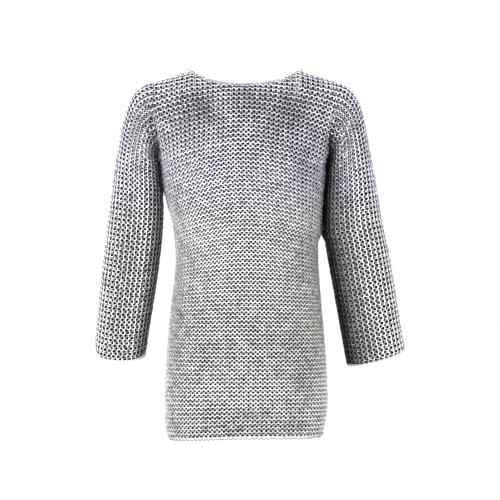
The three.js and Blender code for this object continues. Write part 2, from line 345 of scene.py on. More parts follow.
# Near-black that painted shade in creases, sleeve insides, patches and edge rows mixes towards
PAINTED_SHADE_DARK = (0.012, 0.014, 0.013, 1)
BROAD_SCALE = 7.0
PATCH_SCALE = 38.0
SCRATCH_SCALE = 2600.0
SOFT_DETAIL = 2.0
FINE_DETAIL = 3.0
SCRATCH_STRENGTH = 0.12
SCRATCH_DEPTH = 0.0002

# Ramps of the steel's finish, of its painted cool reflection by height and of its painted shade where the
# wire lies deep: from which to which input, and from which to which result
COOL_REFLECTION_BY_HEIGHT = (-0.355, -0.25, 0.0, 0.5)
COOL_BY_PATCH = (0.4, 0.7, 0.0, 0.2)
TARNISH_BY_PATCH = (0.52, 0.72, 0.0, 0.45)
BRIGHTNESS_BY_TONE = (0, 1, 0.82, 1.12)
PAINTED_SHADE_BY_STANDING = (-2.3, 1.0, 1.0, 0.0)
ROUGH_BY_TONE = (0, 1, 0.24, 0.4)
ROUGH_BY_PATCH = (0.4, 0.75, 0.0, 0.16)
ROUGH_BY_STANDING = (-2.0, 1.8, 0.14, -0.04)

# The finish of the sheets of painted shade, and the backs of rings on their inner faces, with edges in
# rings' pitches
DARKER = (0.006, 0.006, 0.008, 1)
LESS_DARK = (0.02, 0.019, 0.018, 1)
DARK_SCALE = 24.0
DARK_ROUGHNESS = 0.9
DARK_SHINE = 0.1
INNER_RING = (0.42, 0.42, 0.425, 1)
INNER_UNEVENNESS = 0.12
INNER_HOLE = (0.27, 0.36)
INNER_EDGE = (0.56, 0.47)


def mix(a, b, t):
    return a + (b - a) * t


def ease(low, high, value):
    t = np.clip((value - low) / (high - low), 0, 1)
    return t * t * (3 - 2 * t)


def hermite(a, b, slope_a, slope_b, t):
    t2 = t * t
    t3 = t2 * t
    return (
        a * (2 * t3 - 3 * t2 + 1)
        + slope_a * (t3 - 2 * t2 + t)
        + b * (3 * t2 - 2 * t3)
        + slope_b * (t3 - t2)
    )


def torso_at(key, z):
    """The torso's value at heights z, with each stretch between rows eased into the next."""
    heights = TORSO[:, 0]
    values = TORSO[:, TORSO_COLUMNS.index(key)]
    last = len(heights) - 1
    above = np.maximum(np.arange(last + 1) - 1, 0)
    below = np.minimum(np.arange(last + 1) + 1, last)
    slopes = (values[below] - values[above]) / (heights[below] - heights[above])
    i = np.clip(np.searchsorted(-heights, -np.asarray(z, float), side="right") - 1, 0, last - 1)
    run = heights[i + 1] - heights[i]
    t = np.clip((z - heights[i]) / run, 0, 1)
    return hermite(values[i], values[i + 1], slopes[i] * run, slopes[i + 1] * run, t)


def section_at(side, at):
    """A sleeve's section at a place between the rows of its table, as one value for each column."""
    rows = SLEEVES[side]
    last = len(rows) - 1
    i = min(int(at), last - 1)
    before, a, b, after = (rows[min(max(n, 0), last)] for n in (i - 1, i, i + 1, i + 2))
    return dict(zip(SLEEVE_COLUMNS, hermite(a, b, (b - before) / 2, (after - a) / 2, at - i)))


def section_depth(section, s):
    """A section's half depth at shares s of the way from its inner to its outer point."""
    rim = np.maximum(1 - np.abs(2 * s - 1) ** section["square"], 0) ** (1 / section["square"])
    return mix(section["low"], section["high"], ease(WIDEN_FROM, WIDEN_TO, s)) * rim


def shoulder_z(x):
    beyond = np.maximum(np.abs(x) - NECK_PEAK_X, 0) / (SHOULDER_X - NECK_PEAK_X)
    outside = mix(NECK_PEAK_Z, SHOULDER_Z, beyond**SHOULDER_POWER)
    inside = NECK_PEAK_Z + HIDDEN_RISE * (1 - (x / NECK_PEAK_X) ** 2)
    return np.where(np.abs(x) > NECK_PEAK_X, outside, inside)


def top_edge_z(x, face):
    share = np.minimum(np.abs(x) / NECK_PEAK_X, 1)
    neckline = NECK_PEAK_Z - NECK_DROP[face] * (1 - share**NECK_POWER)
    return np.where(np.abs(x) >= NECK_PEAK_X, shoulder_z(x), neckline)


def chest_depth(x, z, face):
    below = np.clip((shoulder_z(x) - z) / CHEST_REACH[face], 0, 1)
    power = CHEST_POWER[face]
    return torso_at(face, z) * (1 - (1 - below) ** power) ** (1 / power)


def hollow_at(face, x, z):
    drawn = np.zeros_like(x)
    for hollow_face, hx, hz, half_width, half_height, lean, depth in HOLLOWS:
        if hollow_face != face:
            continue
        up = z - hz
        side = (x - hx - lean * up) / half_width
        drawn += depth * np.exp(-(side**2) - (up / half_height) ** 2)
    return drawn


def hole_share(z):
    """Share of the way up the armholes at height z."""
    return (z - PIT_Z) / (SHOULDER_Z - PIT_Z)


def hole_x(side, s):
    top = -SHOULDER_X if side == "right" else SHOULDER_X
    return mix(PIT_X[side], top, s)


def between_holes(w, z):
    """Place at height z between the armholes, where w is -1 at the right one and 1 at the left one."""
    s = hole_share(z)
    return (hole_x("left", s) * (1 + w) + hole_x("right", s) * (1 - w)) / 2


def upper_depth(face, x, z):
    """How far the body's outer face stands from y = 0 above the armpits, at places x and z."""
    s = hole_share(z)
    for _ in range(EDGE_ROUNDS):
        kept = np.clip(s, 0, 1)
        right, left = hole_x("right", kept), hole_x("left", kept)
        at_hole = ease(0, SIDE_FADE_TO, kept)
        torso_right, torso_left = torso_at("right", z), torso_at("left", z)
        middle = mix((torso_right + torso_left) / 2, (right + left) / 2, at_hole)
        half = mix((torso_left - torso_right) / 2, (left - right) / 2, at_hole)
        sideways = np.clip((x - middle) / half, -1, 1)
        edge = top_edge_z((right + left) / 2 + sideways * (left - right) / 2, face)
        s = mix(s, (z - PIT_Z) / (edge - PIT_Z), EDGE_PART)
    s = np.clip(s, 0, 1)
    bend = 2 / SQUARENESS
    cosine = np.abs(sideways) ** (1 / bend)
    outward = np.sqrt(np.maximum(1 - cosine**2, 0)) ** bend
    fading = ease(0, SIDE_FADE_TO, s)
    fullness = mix(outward, 1 - np.abs(sideways) ** SIDE_POWER, fading)
    near_edge = np.abs(sideways) ** mix(EDGE_REACH, 0, fading)
    edge_depth = section_depth(section_at("right", 0), s)
    chest = chest_depth(x, z, face) - hollow_at(face, x, z) * outward
    return chest * fullness + edge_depth * (1 - fullness) * near_edge


def arc_lengths(line):
    steps = np.linalg.norm(np.diff(line, axis=0), axis=1)
    return np.concatenate([[0], np.cumsum(steps)])


def along_line(line, arcs, places):
    """Points at given arc lengths of a line."""
    return np.stack([np.interp(places, arcs, line[:, k]) for k in range(line.shape[1])], axis=1)


def spread_evenly(line, count):
    """A number of points at even distances along a line."""
    arcs = arc_lengths(line)
    return along_line(line, arcs, np.linspace(0, arcs[-1], count))


def unit(vectors):
    """Vectors brought to length one."""
    return vectors / np.maximum(np.linalg.norm(vectors, axis=-1, keepdims=True), TINY)


class Net:
    """A surface as rows and columns of points, sampled between them. Normals point outwards."""

    def __init__(self, points, inside):
        self.points = points
        down = np.gradient(points, axis=0)
        across = np.gradient(points, axis=1)
        normals = unit(np.cross(across, down))
        away = ((points - inside) * normals).sum(axis=2)
        self.normals = normals * (1 if np.median(away) > 0 else -1)

    def sample(self, row, col):
        """Point and normal at fractional rows and columns, as one array of six columns."""
        rows, cols = self.points.shape[:2]
        row = np.clip(row, 0, rows - NET_SHORT)
        col = np.clip(col, 0, cols - NET_SHORT)
        r, c = row.astype(int), col.astype(int)
        tr, tc = (row - r)[:, None], (col - c)[:, None]
        both = np.concatenate([self.points, self.normals], axis=2)
        top = mix(both[r, c], both[r, c + 1], tc)
        bottom = mix(both[r + 1, c], both[r + 1, c + 1], tc)
        return mix(top, bottom, tr)


def body_net(face):
    """A face of the body: rows by height from the hem to the armpits, then by share of the way up to the
    shoulder line, and columns by share of the half round at the armpits."""
    sign = -1 if face == "front" else 1
    angle = np.linspace(0, math.pi, TORSO_ROUND_POINTS)
    bend = 2 / SQUARENESS
    sideways = -np.sign(np.cos(angle)) * np.abs(np.cos(angle)) ** bend
    outward = np.maximum(np.sin(angle), 0) ** bend
    lower = []
    for z in np.linspace(HEM_Z, PIT_Z, LOWER_STEPS + 1):
        heights = np.full_like(angle, z)
        right, left = torso_at("right", heights), torso_at("left", heights)
        x = (right + left) / 2 + sideways * (left - right) / 2
        inwards = pressed("left", z) * (x > 0) - pressed("right", z) * (x < 0)
        x += inwards * np.abs(sideways) ** TORSO_PRESS_POWER
        y = sign * (torso_at(face, heights) - hollow_at(face, x, heights)) * outward
        share = (x - right) / (left - right)
        lift = mix(HEM_SIDE_LIFT["right"], HEM_SIDE_LIFT["left"], share)
        lift += HEM_MIDDLE_LIFT[face] * 4 * share * (1 - share)
        lifted = heights + lift * ease(HEM_LIFT_FROM, HEM_Z, heights)
        lower.append(spread_evenly(np.stack([x, y, lifted], axis=1), NET_COLUMNS))
    upper = []
    for w in np.clip((lower[-1][:, 0] - PIT_MIDDLE) / PIT_HALF, -1, 1):
        top = SHOULDER_Z
        for _ in range(TOP_ROUNDS):
            top = float(shoulder_z(np.array([between_holes(w, top)]))[0])
        z = mix(PIT_Z, top, np.sin(np.linspace(0, math.pi / 2, UPPER_STEPS + 1)))
        x = between_holes(w, z)
        line = np.stack([x, sign * upper_depth(face, x, z), z], axis=1)
        upper.append(spread_evenly(line, UPPER_STEPS + 1))
    points = np.concatenate([np.array(lower)[:-1], np.array(upper).transpose(1, 0, 2)])
    return Net(points, np.array([0, 0, 1.0]) * points[:, :1, 2:])


def pressed(side, z):
    """How far sleeve and torso are each pressed towards the other below an armpit, where they touch."""
    rows = SLEEVES[side]
    sleeve_x = np.interp(-z, -rows[:, 1], rows[:, 0])
    gap = np.abs(sleeve_x - torso_at(side, np.asarray(z, float)))
    fading = ease(TOUCH_LOWEST[side] - TOUCH_FADE, TOUCH_LOWEST[side], z)
    return np.minimum(gap / 2, MOST_PRESSED) * (fading * (z < PIT_Z + TOUCH_ABOVE_PIT))


def sleeve_net(side):
    """A sleeve: rows from armhole to cuff, columns by share of the way round from the armpit side."""
    rows = []
    middles = []
    round_half = (1 - np.cos(np.linspace(0, math.pi, SLEEVE_HALF_STEPS + 1))) / 2
    s = np.concatenate([round_half, round_half[-2::-1]])
    sign = np.where(np.arange(len(s)) <= SLEEVE_HALF_STEPS, -1, 1)
    for at in np.linspace(0, len(SLEEVES[side]) - 1, SLEEVE_STEPS + 1):
        section = section_at(side, at)
        depth = section_depth(section, s)
        x = mix(section["inner_x"], section["outer_x"], s)
        drop = section["droop"] * depth / section["high"]
        z = mix(section["inner_z"], section["outer_z"], s) + sign * drop
        x += (-1 if side == "left" else 1) * pressed(side, z) * (1 - s) ** SLEEVE_PRESS_POWER
        line = np.stack([x, sign * depth, z], axis=1)
        rows.append(spread_evenly(line, NET_COLUMNS))
        middles.append([line[:, 0].mean(), 0, line[:, 2].mean()])
    return Net(np.array(rows), np.array(middles)[:, None, :])


class Rings:
    """Places for rings, each with its surface normal, its row's direction, its lean, size and painted
    shade.
    """

    def __init__(self):
        self.rows = []

    def add_row(self, samples, directions, lean, sizes, shade=0):
        if len(samples) == 0:
            return
        lean = np.full((len(samples), 1), float(lean))
        sizes = np.broadcast_to(np.asarray(sizes, float).reshape(-1, 1), (len(samples), 1))
        # Painted shade of creases and patches, or the row's own painted shade where that is darker
        shade = np.maximum(crease_shade(samples), shade).reshape(-1, 1)
        self.rows.append(np.concatenate([samples, directions, lean, sizes, shade], axis=1))

    def table(self):
        """All the rings, with their centres moved in from the surface to the middle of the wall."""
        made = np.concatenate(self.rows)
        made[:, :3] -= made[:, 3:6] * WALL / 2
        return made


def crease_shade(samples):
    """How dark painted shade makes the mail, from 0 to 1: in the creases between sleeve and body, and in
    the patches of painted shade.
    """
    shade = np.zeros(len(samples))
    x, z = samples[:, 0], samples[:, 2]
    for top_x, top_z, low_x, low_z, half_width, most in PAINTED_CREASE_SHADES:
        line_x = np.interp(z, (low_z, top_z), (low_x, top_x))
        from_below = ease(low_z - CREASE_FADE_BELOW, low_z, z)
        lengthways = from_below * (1 - ease(top_z, top_z + CREASE_FADE_ABOVE, z))
        shade = np.maximum(shade, most * lengthways * np.exp(-(((x - line_x) / half_width) ** 2)))
    facing = np.where(samples[:, 1] < 0, 1.0, BACK_SHADE_SHARE)
    for patch_x, patch_z, half_width, half_height, most in PAINTED_SHADE_PATCHES:
        spread = ((x - patch_x) / half_width) ** 2 + ((z - patch_z) / half_height) ** 2
        shade = np.maximum(shade, most * np.exp(-spread) * facing)
    return shade


def directions_of(samples):
    """Direction of the row at each of its places."""
    if len(samples) < 2:
        return np.tile([1.0, 0, 0], (len(samples), 1))
    return unit(np.gradient(samples[:, :3], axis=0))


def ring_size(pitch):
    """Rings of the open weave at the neck and sleeves show a little larger than in the closed weave."""
    return np.clip(RING_SHARE_OF_PITCH * pitch / RING_RADIUS, SMALLEST_RING, LARGEST_RING)


def body_rows(face):
    """Every row of a face of the body from the hem up: its number, its points, their heights along the
    surface from the armpits' level, and their share of the way from there to the shoulder line.

    Rows lie level at the hem and droop more and more towards the sides higher up, as mail does that
    hangs from the shoulders. Above the armpits they are spaced wider towards the neck."""
    net = BODY_NETS[face]
    cols = net.points.shape[1]
    columns = np.arange(cols, dtype=float)
    pits = net.points[LOWER_STEPS]
    aside = np.clip(np.abs(pits[:, 0] - PIT_MIDDLE) / PIT_HALF, 0, 1)
    heights = np.array([arc_lengths(net.points[LOWER_STEPS:, c])[-1] for c in range(cols)])
    counts = mix(UPPER_ROWS_MIDDLE, UPPER_ROWS_EDGE, aside**2)
    start = HEM_Z + RING_RADIUS * HEM_ROW_RISE - PIT_Z
    for row in range(ALL_ROWS):
        if row <= LOWER_ROWS:
            up = np.full(cols, start * (1 - row / LOWER_ROWS))
        else:
            at = (row - LOWER_ROWS) / counts
            first = ROW_SPACING * counts / heights
            up = heights * (first * at + (1 - first) * at**2)
        up = up - DROOP * ease(DROOP_FROM, 0, up) * aside**DROOP_POWER
        below = (up - (HEM_Z - PIT_Z)) / (PIT_Z - HEM_Z) * LOWER_STEPS
        above = LOWER_STEPS + np.minimum(up / heights, 1) * UPPER_STEPS
        line = net.sample(np.where(up < 0, below, above), columns)
        yield row, line, up, up / heights


def body_rings(face, first, last):
    """Rings of a face of the body in rows first to last. Where a row meets both side seams, every second
    row of the front has a ring on them. Rows above the armpits are measured from their middle."""
    rings = Rings()
    neckline = neck_edge(face)[0]
    pitch_at_pits = None
    rows_above = 0
    for row, line, up, reach in body_rows(face):
        arcs = arc_lengths(line[:, :3])
        odd = (row % 2) == 1
        whole = up[0] <= 0 and up[-1] <= 0
        if whole:
            pitch = arcs[-1] / HALF_COUNT
            pitch_at_pits = pitch
            index = np.arange(HALF_COUNT) + 0.5 if odd else np.arange(HALF_COUNT + 1.0)
            if not odd and face == "back":
                index = index[1:-1]
            places = index * pitch
        else:
            rows_above += 1
            pitch = mix(pitch_at_pits, NECK_PITCH, min(rows_above / ROWS_TO_NECK, 1))
            middle = arcs[len(arcs) // 2]
            steps = np.arange(-PLACES_ASIDE, PLACES_ASIDE + 1)
            places = middle + (steps + (0.5 if odd else 0)) * pitch
        if not first <= row < last:
            continue
        samples = along_line(line, arcs, places)
        directions = directions_of(samples)
        if not whole:
            reached = np.interp(places, arcs, reach)
            height = np.interp(places, arcs, up)
            x, z = samples[:, 0], samples[:, 2]
            s = np.clip(hole_share(z), 0, 1)
            gap = np.where(x < 0, -hole_x("right", s), hole_x("left", s)) - np.abs(x)
            in_neck = (np.abs(x) < NECK_PEAK_X) & (z > top_edge_z(x, face))
            apart = np.linalg.norm(samples[:, None, :3] - neckline[None], axis=2).min(axis=1)
            on_row = (places > 0) & (places < arcs[-1])
            kept = on_row & (reached < TOP_REACH) & ~in_neck & (apart > NECK_CLEAR)
            kept &= (height < 0) | (gap > ARMHOLE_MARGIN * pitch)
            samples, directions = samples[kept], directions[kept]
        # Painted shade on the hem's row
        shade = HEM_ROW_SHADE if row == 0 else 0
        rings.add_row(samples, directions, 1 if odd else -1, ring_size(pitch), shade)
    if last > LOWER_ROWS:
        extra = [neck_row(face)]
        if face == "front":
            extra += [shoulder_row(side) for side in SLEEVES]
        for samples, directions in extra:
            # Painted shade on the rows along neckline and shoulders
            rings.add_row(samples, directions, 1, ring_size(NECK_ROW_PITCH), NECK_ROW_SHADE)
    return rings


def neck_edge(face):
    """Points along the neckline, the outward normal at each, and the way down the mail from it."""
    sign = -1 if face == "front" else 1
    x = NECK_PEAK_X * np.sin(np.linspace(-math.pi / 2, math.pi / 2, NECKLINE_POINTS))
    z = top_edge_z(x, face)
    points = np.stack([x, sign * upper_depth(face, x, z), z], axis=1)
    step = SLOPE_STEP
    z = z - NECK_ROW_REACH
    depth = upper_depth(face, x, z)
    slope_x = (upper_depth(face, x + step, z) - upper_depth(face, x - step, z)) / (2 * step)
    slope_z = (depth - upper_depth(face, x, z - step)) / step
    normals = unit(np.stack([-slope_x, np.full_like(x, sign), -slope_z], axis=1))
    away = unit(sign * np.cross(normals, np.gradient(points, axis=0)))
    return points, normals, away


def neck_row(face):
    """The row of rings that follows the neckline. The back's leaves out the ends, which the front has."""
    points, normals, away = neck_edge(face)
    line = np.concatenate([points + away * NECK_ROW_REACH, normals], axis=1)
    arcs = arc_lengths(line[:, :3])
    count = round(arcs[-1] / NECK_ROW_PITCH)
    samples = along_line(line, arcs, np.linspace(0, arcs[-1], count + 1))
    if face == "back":
        samples = samples[1:-1]
    return samples, directions_of(samples)


def shoulder_row(side):
    """The row of rings along the top of a shoulder, where the rows of front and back meet."""
    first = NECK_PEAK_X + NECK_ROW_REACH + NECK_ROW_PITCH
    x = np.linspace(first, SHOULDER_X, round((SHOULDER_X - first) / NECK_ROW_PITCH) + 1)
    x = x[:-1] * (-1 if side == "right" else 1)
    z = shoulder_z(x)
    slope = np.gradient(z, x)
    zero = np.zeros_like(x)
    samples = np.stack([x, zero, z, -slope, zero, np.ones_like(x)], axis=1)
    samples[:, 3:] = unit(samples[:, 3:])
    return samples, directions_of(samples)


def sleeve_rings(side):
    """Rows along the arm. Round the armpit every second cross-line ends where rings would crowd."""
    rings = Rings()
    net = SLEEVE_NETS[side]
    rows, cols = net.points.shape[:2]
    outer = net.sample(np.arange(rows, dtype=float), np.full(rows, (cols - 1) / 2))[:, :3]
    arcs = arc_lengths(outer)
    run = arcs[-1] - RING_RADIUS
    half_steps = np.arange(round(run / SLEEVE_PITCH * 2) + 1)
    levels = np.interp(half_steps * run / half_steps[-1], arcs, np.arange(rows))
    count = SLEEVE_ROWS[side]
    for row in range(count):
        col = np.full(len(levels), row / count * (cols - 1))
        samples = net.sample(levels, col)
        directions = directions_of(samples)
        gap = np.linalg.norm(np.gradient(samples[:, :3], axis=0), axis=1) * 2
        halvings = np.ceil(np.log2(CROWDED / np.maximum(gap, LEAST_GAP)))
        thinning = np.clip(halvings, 0, MOST_THINNINGS).astype(int)
        period = 2 * 2**thinning
        offset = np.where(row % 2 == 1, period // 2, 0)
        kept = half_steps % period == offset
        sizes = ring_size(gap * 2.0**thinning)[kept]
        # Painted shade on the inner side of the sleeve, fading round towards the outer side
        from_inner = min(row, count - row) / count
        fading = ease(SLEEVE_INNER_FROM[side], SLEEVE_INNER_REACH[side], from_inner)
        shade = SLEEVE_INNER_SHADE[side] * (1 - fading)
        rings.add_row(samples[kept], directions[kept], 1 if row % 2 else -1, sizes, shade)
    return rings


BODY_NETS = {face: body_net(face) for face in ("front", "back")}
SLEEVE_NETS = {side: sleeve_net(side) for side in ("right", "left")}


# Node trees
def add_sockets(tree, kind, *names, way="INPUT"):
    for name in names:
        tree.interface.new_socket(name=name, in_out=way, socket_type="NodeSocket" + kind)


class Nodes:
    """Short ways to add nodes to a tree."""

    def __init__(self, tree):
        self.tree = tree

    def give(self, socket, value):
        """Links an input to another node's output, or sets its value."""
        if isinstance(value, bpy.types.NodeSocket):
            self.tree.links.new(value, socket)
        else:
            socket.default_value = value

    def fill(self, node, **inputs):
        """Gives a node its inputs, whose names have _ for each space."""
        for key, value in inputs.items():
            self.give(node.inputs[key.replace("_", " ")], value)
        return node

    def put(self, kind, settings=(), **inputs):
        """A new node with its settings and inputs."""
        node = self.tree.nodes.new(kind)
        for key, value in dict(settings).items():
            setattr(node, key, value)
        return self.fill(node, **inputs)

    def calculate(self, operation, *values):
        node = self.put("ShaderNodeMath", {"operation": operation})
        for socket, value in zip(node.inputs, values):
            self.give(socket, value)
        return node.outputs[0]

    def noise(self, place, scale, detail):
        return self.put("ShaderNodeTexNoise", Vector=place, Scale=scale, Detail=detail).outputs["Fac"]

    def ramp(self, value, low, high, to_low=0.0, to_high=1.0):
        """An eased ramp that takes low to to_low and high to to_high."""
        node = self.put("ShaderNodeMapRange", {"interpolation_type": "SMOOTHSTEP"}, Value=value)
        self.fill(node, From_Min=low, From_Max=high, To_Min=to_low, To_Max=to_high)
        return node.outputs["Result"]

    def blend(self, factor, a, b):
        """A mix of two colours."""
        node = self.put("ShaderNodeMix", {"data_type": "RGBA"})
        inputs = {socket.identifier: socket for socket in node.inputs}
        for name, value in (("Factor_Float", factor), ("A_Color", a), ("B_Color", b)):
            self.give(inputs[name], value)
        return next(socket for socket in node.outputs if socket.identifier == "Result_Color")


def ring_tree():
    """A ring at each point, in the plane that its row's direction, the surface and its lean give."""
    tree = bpy.data.node_groups.new("linked_rings", "GeometryNodeTree")
    add_sockets(tree, "Geometry", "Places")
    add_sockets(tree, "Float", "Ring Radius", "Wire Radius", "Lean", "Unevenness")
    add_sockets(tree, "Int", "Ring Steps", "Wire Steps", "Seed")
    add_sockets(tree, "Material", "Material")
    add_sockets(tree, "Geometry", "Rings", way="OUTPUT")
    make = Nodes(tree)
    given = make.put("NodeGroupInput").outputs

    def circle(steps, radius):
        node = make.put("GeometryNodeCurvePrimitiveCircle", Resolution=steps, Radius=radius)
        return node.outputs["Curve"]

    def named(name, kind):
        node = make.put("GeometryNodeInputNamedAttribute", {"data_type": kind}, Name=name)
        return node.outputs["Attribute"]

    def vector_math(operation, a, b=None, scale=None):
        node = make.put("ShaderNodeVectorMath", {"operation": operation})
        make.give(node.inputs[0], a)
        if b is not None:
            make.give(node.inputs[1], b)
        if scale is not None:
            make.give(node.inputs["Scale"], scale)
        return node.outputs["Value" if operation == "DOT_PRODUCT" else "Vector"]

    ring = circle(given["Ring Steps"], given["Ring Radius"])
    wire = circle(given["Wire Steps"], given["Wire Radius"])
    torus = make.put("GeometryNodeCurveToMesh", Curve=ring, Profile_Curve=wire)

    outward = named("outward", "FLOAT_VECTOR")
    row_way = named("row_way", "FLOAT_VECTOR")
    across = vector_math("CROSS_PRODUCT", outward, row_way)
    lean = make.calculate("MULTIPLY", given["Lean"], named("lean_way", "FLOAT"))
    upright = vector_math("SCALE", outward, scale=make.calculate("COSINE", lean))
    leaning = vector_math("SCALE", across, scale=make.calculate("SINE", lean))
    axis = vector_math("ADD", upright, leaning)
    axes = {"primary_axis": "Z", "secondary_axis": "X"}
    facing = make.put("FunctionNodeAxesToRotation", axes, Primary_Axis=axis, Secondary_Axis=row_way)

    # A small turn at random about each axis
    most = given["Unevenness"]
    least = make.calculate("MULTIPLY", most, -1.0)
    widest = make.put("ShaderNodeCombineXYZ", X=most, Y=most, Z=most)
    narrowest = make.put("ShaderNodeCombineXYZ", X=least, Y=least, Z=least)
    uneven = make.put(
        "FunctionNodeRandomValue",
        {"data_type": "FLOAT_VECTOR"},
        Min=narrowest.outputs[0],
        Max=widest.outputs[0],
        Seed=given["Seed"],
    )
    small_turn = make.put("FunctionNodeEulerToRotation")
    make.give(small_turn.inputs[0], uneven.outputs["Value"])
    turned = make.put(
        "FunctionNodeRotateRotation",
        {"rotation_space": "LOCAL"},
        Rotation=facing.outputs[0],
        Rotate_By=small_turn.outputs[0],
    )

    to_points = make.put("GeometryNodeMeshToPoints", Mesh=given["Places"])
    placed = make.put(
        "GeometryNodeInstanceOnPoints",
        Points=to_points.outputs["Points"],
        Instance=torus.outputs["Mesh"],
        Rotation=turned.outputs[0],
        Scale=named("ring_size", "FLOAT"),
    )
    realized = make.put("GeometryNodeRealizeInstances", Geometry=placed.outputs["Instances"])

    # How far each point of the wire stands out from its ring's centre, in millimetres
    here = make.put("GeometryNodeInputPosition").outputs[0]
    from_centre = vector_math("SUBTRACT", here, named("centre", "FLOAT_VECTOR"))
    stands = make.calculate("MULTIPLY", vector_math("DOT_PRODUCT", from_centre, outward), 1 / MM)
    stored = make.put(
        "GeometryNodeStoreNamedAttribute",
        {"data_type": "FLOAT", "domain": "POINT"},
        Geometry=realized.outputs["Geometry"],
        Name="stands_out",
        Value=stands,
    )
    last = stored.outputs["Geometry"]
    for name in ("outward", "row_way", "lean_way", "ring_size", "centre"):
        last = make.put("GeometryNodeRemoveAttribute", Geometry=last, Name=name).outputs["Geometry"]
    smooth = make.put("GeometryNodeSetShadeSmooth", Geometry=last).outputs["Geometry"]
    finished = make.put("GeometryNodeSetMaterial", Geometry=smooth, Material=given["Material"])
    make.put("NodeGroupOutput", Rings=finished.outputs["Geometry"])
    return tree


def set_inputs(modifier, **values):
    """Sets a Geometry Nodes modifier's inputs by their sockets' identifiers."""
    sockets = {
        item.name: item.identifier
        for item in modifier.node_group.interface.items_tree
        if item.item_type == "SOCKET" and item.in_out == "INPUT"
    }
    for name, value in values.items():
        modifier[sockets[name.replace("_", " ").title()]] = value


def carry(mesh, name, values):
    """Gives each point of a mesh its number or, from three columns, its vector."""
    values = np.ascontiguousarray(values, dtype=np.float32)
    kind, field = ("FLOAT_VECTOR", "vector") if values.ndim == 2 else ("FLOAT", "value")
    mesh.attributes.new(name, kind, "POINT").data.foreach_set(field, values.ravel())


def mail_piece(name, rings, material, seed):
    """One piece of mail as a plain mesh of rings, and how many rings it has."""
    table = rings.table()
    mesh = bpy.data.meshes.new(name + "_places")
    mesh.from_pydata((table[:, :3] * MM).tolist(), [], [])
    carry(mesh, "outward", table[:, 3:6])
    carry(mesh, "row_way", table[:, 6:9])
    carry(mesh, "lean_way", table[:, 9])
    carry(mesh, "ring_size", table[:, 10])
    carry(mesh, "centre", table[:, :3] * MM)
    carry(mesh, "tone", np.random.default_rng(seed).random(len(table)))
    carry(mesh, "shade", table[:, 11])
    carrier = add_object(name + "_places", mesh)
    modifier = carrier.modifiers.new("rings", "NODES")
    modifier.node_group = RING_TREE
    set_inputs(
        modifier,
        ring_radius=RING_RADIUS * MM,
        wire_radius=WIRE_RADIUS * MM,
        ring_steps=RING_STEPS,
        wire_steps=WIRE_STEPS,
        lean=math.radians(LEAN),
        unevenness=math.radians(UNEVENNESS),
        seed=seed,
        material=material,
    )
    evaluated = carrier.evaluated_get(bpy.context.evaluated_depsgraph_get())
    made = bpy.data.meshes.new_from_object(evaluated)
    made.name = name
    bpy.data.objects.remove(carrier)
    return add_object(name, made), len(table)


def thin_wall(grid, across, down, closed):
    """Vertices, places in the weave and faces of a closed sheet behind the rings, from a grid of points and
    normals. The places count rings across and pairs of rows down, and their third value is 1 inside."""
    rows, cols = grid.shape[:2]
    points, normals = grid[:, :, :3], grid[:, :, 3:]
    across, down = np.meshgrid(across, down)
    weave = np.stack([across + down, across - down, np.zeros_like(down)], axis=2).reshape(-1, 3)
    weave = np.concatenate([weave, weave + [0, 0, 1]])
    front = points - normals * SHADE_SHEET_DEPTH
    behind = points - normals * (SHADE_SHEET_DEPTH + SHADE_SHEET_THICKNESS)
    vertices = np.concatenate([front.reshape(-1, 3), behind.reshape(-1, 3)])
    faces = []

    def vertex(layer, row, col):
        return layer * rows * cols + row * cols + col % cols

    spans = cols if closed else cols - 1
    for row in range(rows - 1):
        for col in range(spans):
            corners = ((row, col), (row, col + 1), (row + 1, col + 1), (row + 1, col))
            faces.append([vertex(0, *corner) for corner in corners])
            faces.append([vertex(1, *corner) for corner in reversed(corners)])
    edges = [
        ([(0, col) for col in range(cols)], False),
        ([(rows - 1, col) for col in range(cols)], True),
    ]
    if not closed:
        edges.append(([(row, 0) for row in range(rows)], True))
        edges.append(([(row, cols - 1) for row in range(rows)], False))
    for line, turned in edges:
        if closed:
            line = line + line[:1]
        for a, b in zip(line, line[1:]):
            face = [vertex(0, *a), vertex(1, *a), vertex(1, *b), vertex(0, *b)]
            faces.append(face[::-1] if turned else face)
    return vertices, weave, faces


def body_shade_sheet(face):
    """The sheet of painted shade behind a face of the body, cut short of the hem and the neckline."""
    net = BODY_NETS[face]
    rows, cols = net.points.shape[:2]
    col = np.linspace(0, cols - 1, SHADE_SHEET_COLUMNS)
    tops = []
    for c in col:
        line = net.points[:, int(round(c))]
        top = rows - 1
        if abs(line[-1, 0]) < NECK_PEAK_X:
            over = line[:, 2] - (top_edge_z(line[:, 0], face) - SHADE_SHEET_NECK)
            top = np.interp(0, over[LOWER_STEPS:], np.arange(LOWER_STEPS, rows))
        tops.append(top)
    hem = SHADE_SHEET_HEM / (PIT_Z - HEM_Z) * LOWER_STEPS
    low = np.linspace(hem, LOWER_STEPS, SHADE_SHEET_LOWER_ROWS + 1)[:-1]
    up = np.linspace(0, 1, SHADE_SHEET_UPPER_ROWS)[:, None]
    high = up * (np.array(tops) - LOWER_STEPS)[None, :] + LOWER_STEPS
    row = np.concatenate([np.tile(low[:, None], (1, len(col))), high])
    grid = net.sample(row.ravel(), np.tile(col, len(row))).reshape(len(row), len(col), 6)
    down = row.mean(axis=1) / LOWER_STEPS * (PIT_Z - HEM_Z) / (2 * ROW_SPACING)
    return thin_wall(grid, col / (cols - 1) * HALF_COUNT, down, False)


